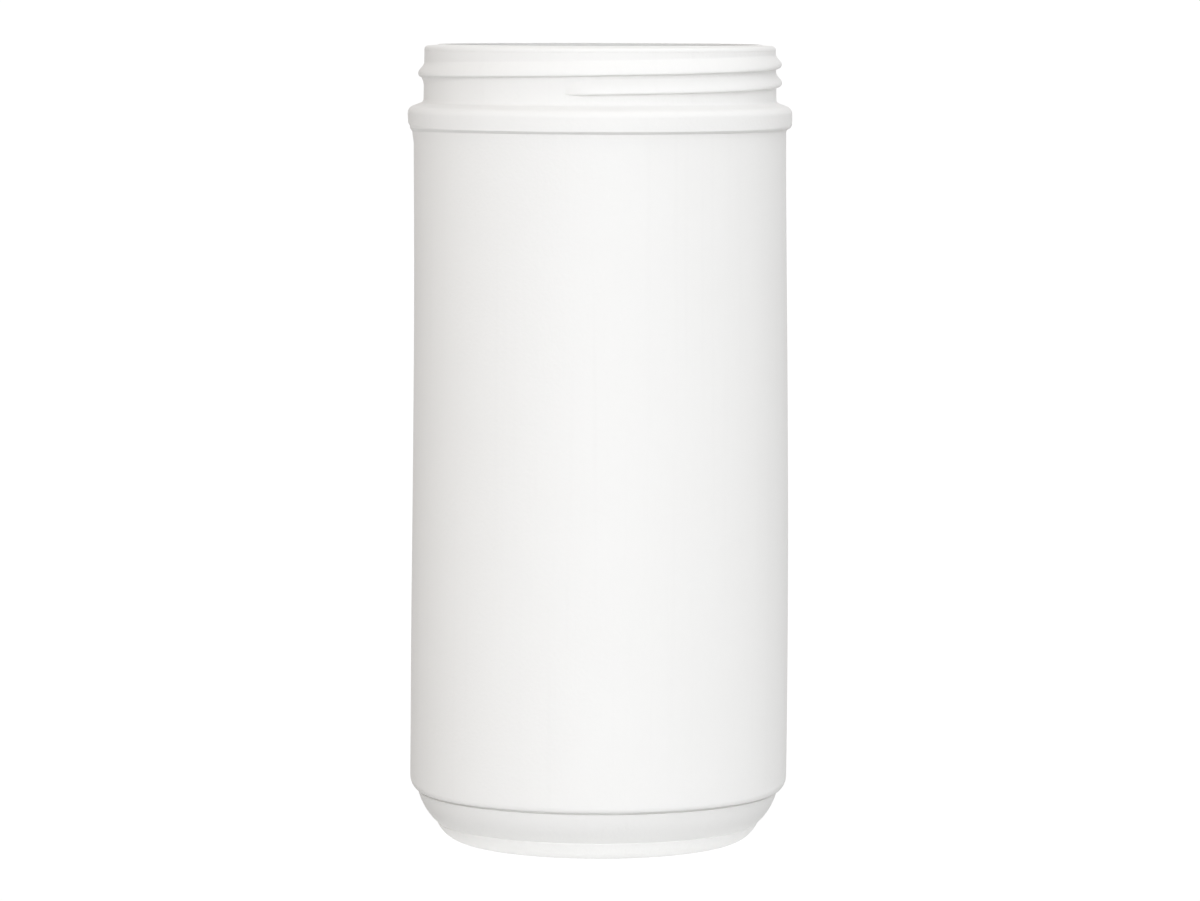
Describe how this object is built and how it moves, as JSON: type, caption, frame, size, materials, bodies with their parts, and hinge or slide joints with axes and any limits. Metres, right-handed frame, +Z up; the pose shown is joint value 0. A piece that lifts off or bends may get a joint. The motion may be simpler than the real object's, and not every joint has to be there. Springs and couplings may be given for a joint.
{
  "type": "wide-mouth bottle",
  "caption": "Tall straight-sided wide-mouth plastic canister bottle, open at the top, with a single-start continuous-thread neck, a sealing flange, a bead, a stepped heel and a recessed base.",
  "frame": {"origin": "centre of the standing plane, on the bottle's axis", "axes": "+Z up the axis, out of the mouth; -Y is the front, where the thread's lower end begins; the X axis lies in the mould's parting plane"},
  "size_m": [0.1058, 0.1058, 0.22],
  "materials": {
    "hdpe_white": "white blow-moulded high-density polyethylene, soft satin, as moulded"
  },
  "bodies": {
    "root": {"bottle": "hdpe_white"}
  },
  "joints": []
}
